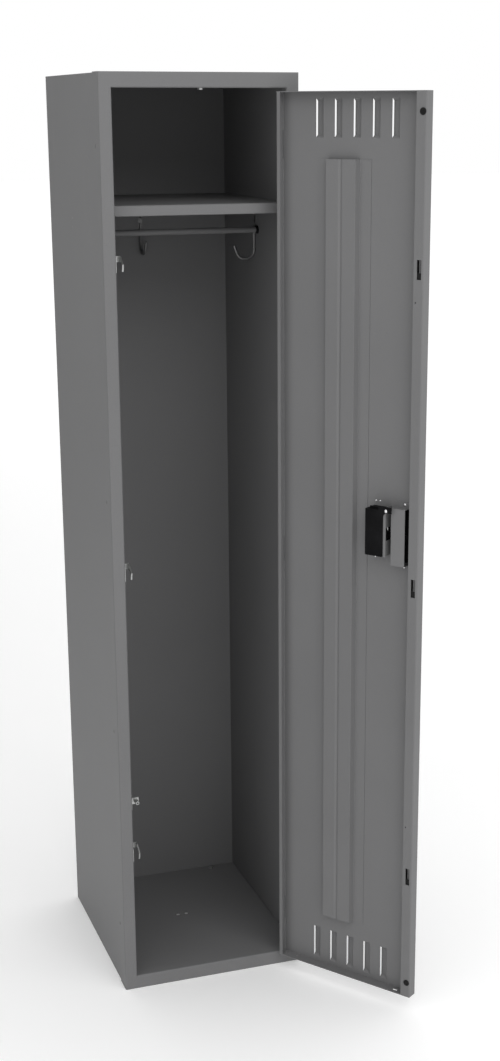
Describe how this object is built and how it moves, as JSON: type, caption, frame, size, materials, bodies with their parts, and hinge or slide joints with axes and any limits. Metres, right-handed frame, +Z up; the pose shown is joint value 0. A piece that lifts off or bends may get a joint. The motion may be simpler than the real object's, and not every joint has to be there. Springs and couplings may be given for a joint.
{
  "type": "school locker",
  "caption": "Tall narrow steel locker with one louvred door hinged on the right, a hat shelf, coat rod, coat hooks and a recessed lift handle.",
  "frame": {"origin": "centre of the cabinet's footprint, on the floor", "axes": "+Z up; -Y is the front, where the door is; +X is the hinge side, to the right of someone facing the front"},
  "size_m": [0.5361, 0.7401, 1.8288],
  "materials": {
    "painted_grey": "matte powder coat",
    "black_steel": "matte black enamel",
    "zinc_steel": "zinc plated",
    "black_plastic": "moulded, matte",
    "black_rubber": "moulded, matte",
    "bright_rivet": "bright"
  },
  "bodies": {
    "cabinet": {"frame_stile_left": "painted_grey", "frame_stile_right": "painted_grey", "frame_rail_top": "painted_grey", "frame_rail_bottom": "painted_grey", "side_panel_left": "painted_grey", "side_panel_right": "painted_grey", "back_panel": "painted_grey", "top_panel": "painted_grey", "bottom_panel": "painted_grey", "hat_shelf": "painted_grey", "coat_rod": "painted_grey", "rod_end_collars": "black_plastic", "coat_hook_left": "zinc_steel", "coat_hook_right": "zinc_steel", "coat_hook_back": "zinc_steel", "coat_hook_rivets": "zinc_steel", "door_rest_stud": "zinc_steel", "top_rail_bolt": "zinc_steel", "floor_bolts": "zinc_steel", "floor_nuts": "zinc_steel", "frame_rivets": "painted_grey", "back_rivets": "painted_grey", "shelf_rivets": "painted_grey", "latch_hook_upper": "zinc_steel", "latch_hook_middle": "zinc_steel", "latch_hook_lower": "zinc_steel", "hinge_frame_leaf_top": "painted_grey", "hinge_frame_leaf_middle": "painted_grey", "hinge_frame_leaf_bottom": "painted_grey", "hinge_pin_top": "zinc_steel", "hinge_pin_middle": "zinc_steel", "hinge_pin_bottom": "zinc_steel"},
    "door": {"door_panel": "painted_grey", "door_stiffener": "painted_grey", "handle_cup": "black_plastic", "cup_bracket": "painted_grey", "latch_cover": "painted_grey", "lever_guide": "black_plastic", "lever_pin": "zinc_steel", "padlock_eye": "zinc_steel", "padlock_eye_rivets": "bright_rivet", "handle_rivets": "bright_rivet", "door_bumper_upper": "black_rubber", "door_bumper_lower": "black_rubber", "bar_guides": "black_plastic", "hinge_door_leaf_top": "painted_grey", "hinge_door_leaf_middle": "painted_grey", "hinge_door_leaf_bottom": "painted_grey"},
    "lift_lever": {"lift_lever": "black_plastic"},
    "lock_bar": {"lock_bar": "black_steel"}
  },
  "joints": [
    {"name": "door_hinge", "type": "hinge", "parent": "cabinet", "child": "door", "pos_m": [0.1615, -0.2319, 0.92], "axis": [0, 0, 1], "range_deg": [-125.2, 50]},
    {"name": "lock_bar_slide", "type": "slide", "parent": "door", "child": "lock_bar", "axis": [0, 0, -1], "range_m": [0, 0.0082], "stiffness_N_per_m": 600, "springref_m": -0.02},
    {"name": "lift_lever_pivot", "type": "hinge", "parent": "door", "child": "lift_lever", "pos_m": [0.30632, -0.462, 0.986], "axis": [0.8171, 0.5764, 0], "range_deg": [0, 15]}
  ],
  "couplings": [
    {"joint": "lift_lever_pivot", "follows": "lock_bar_slide", "rad_per_m": 31.6}
  ]
}
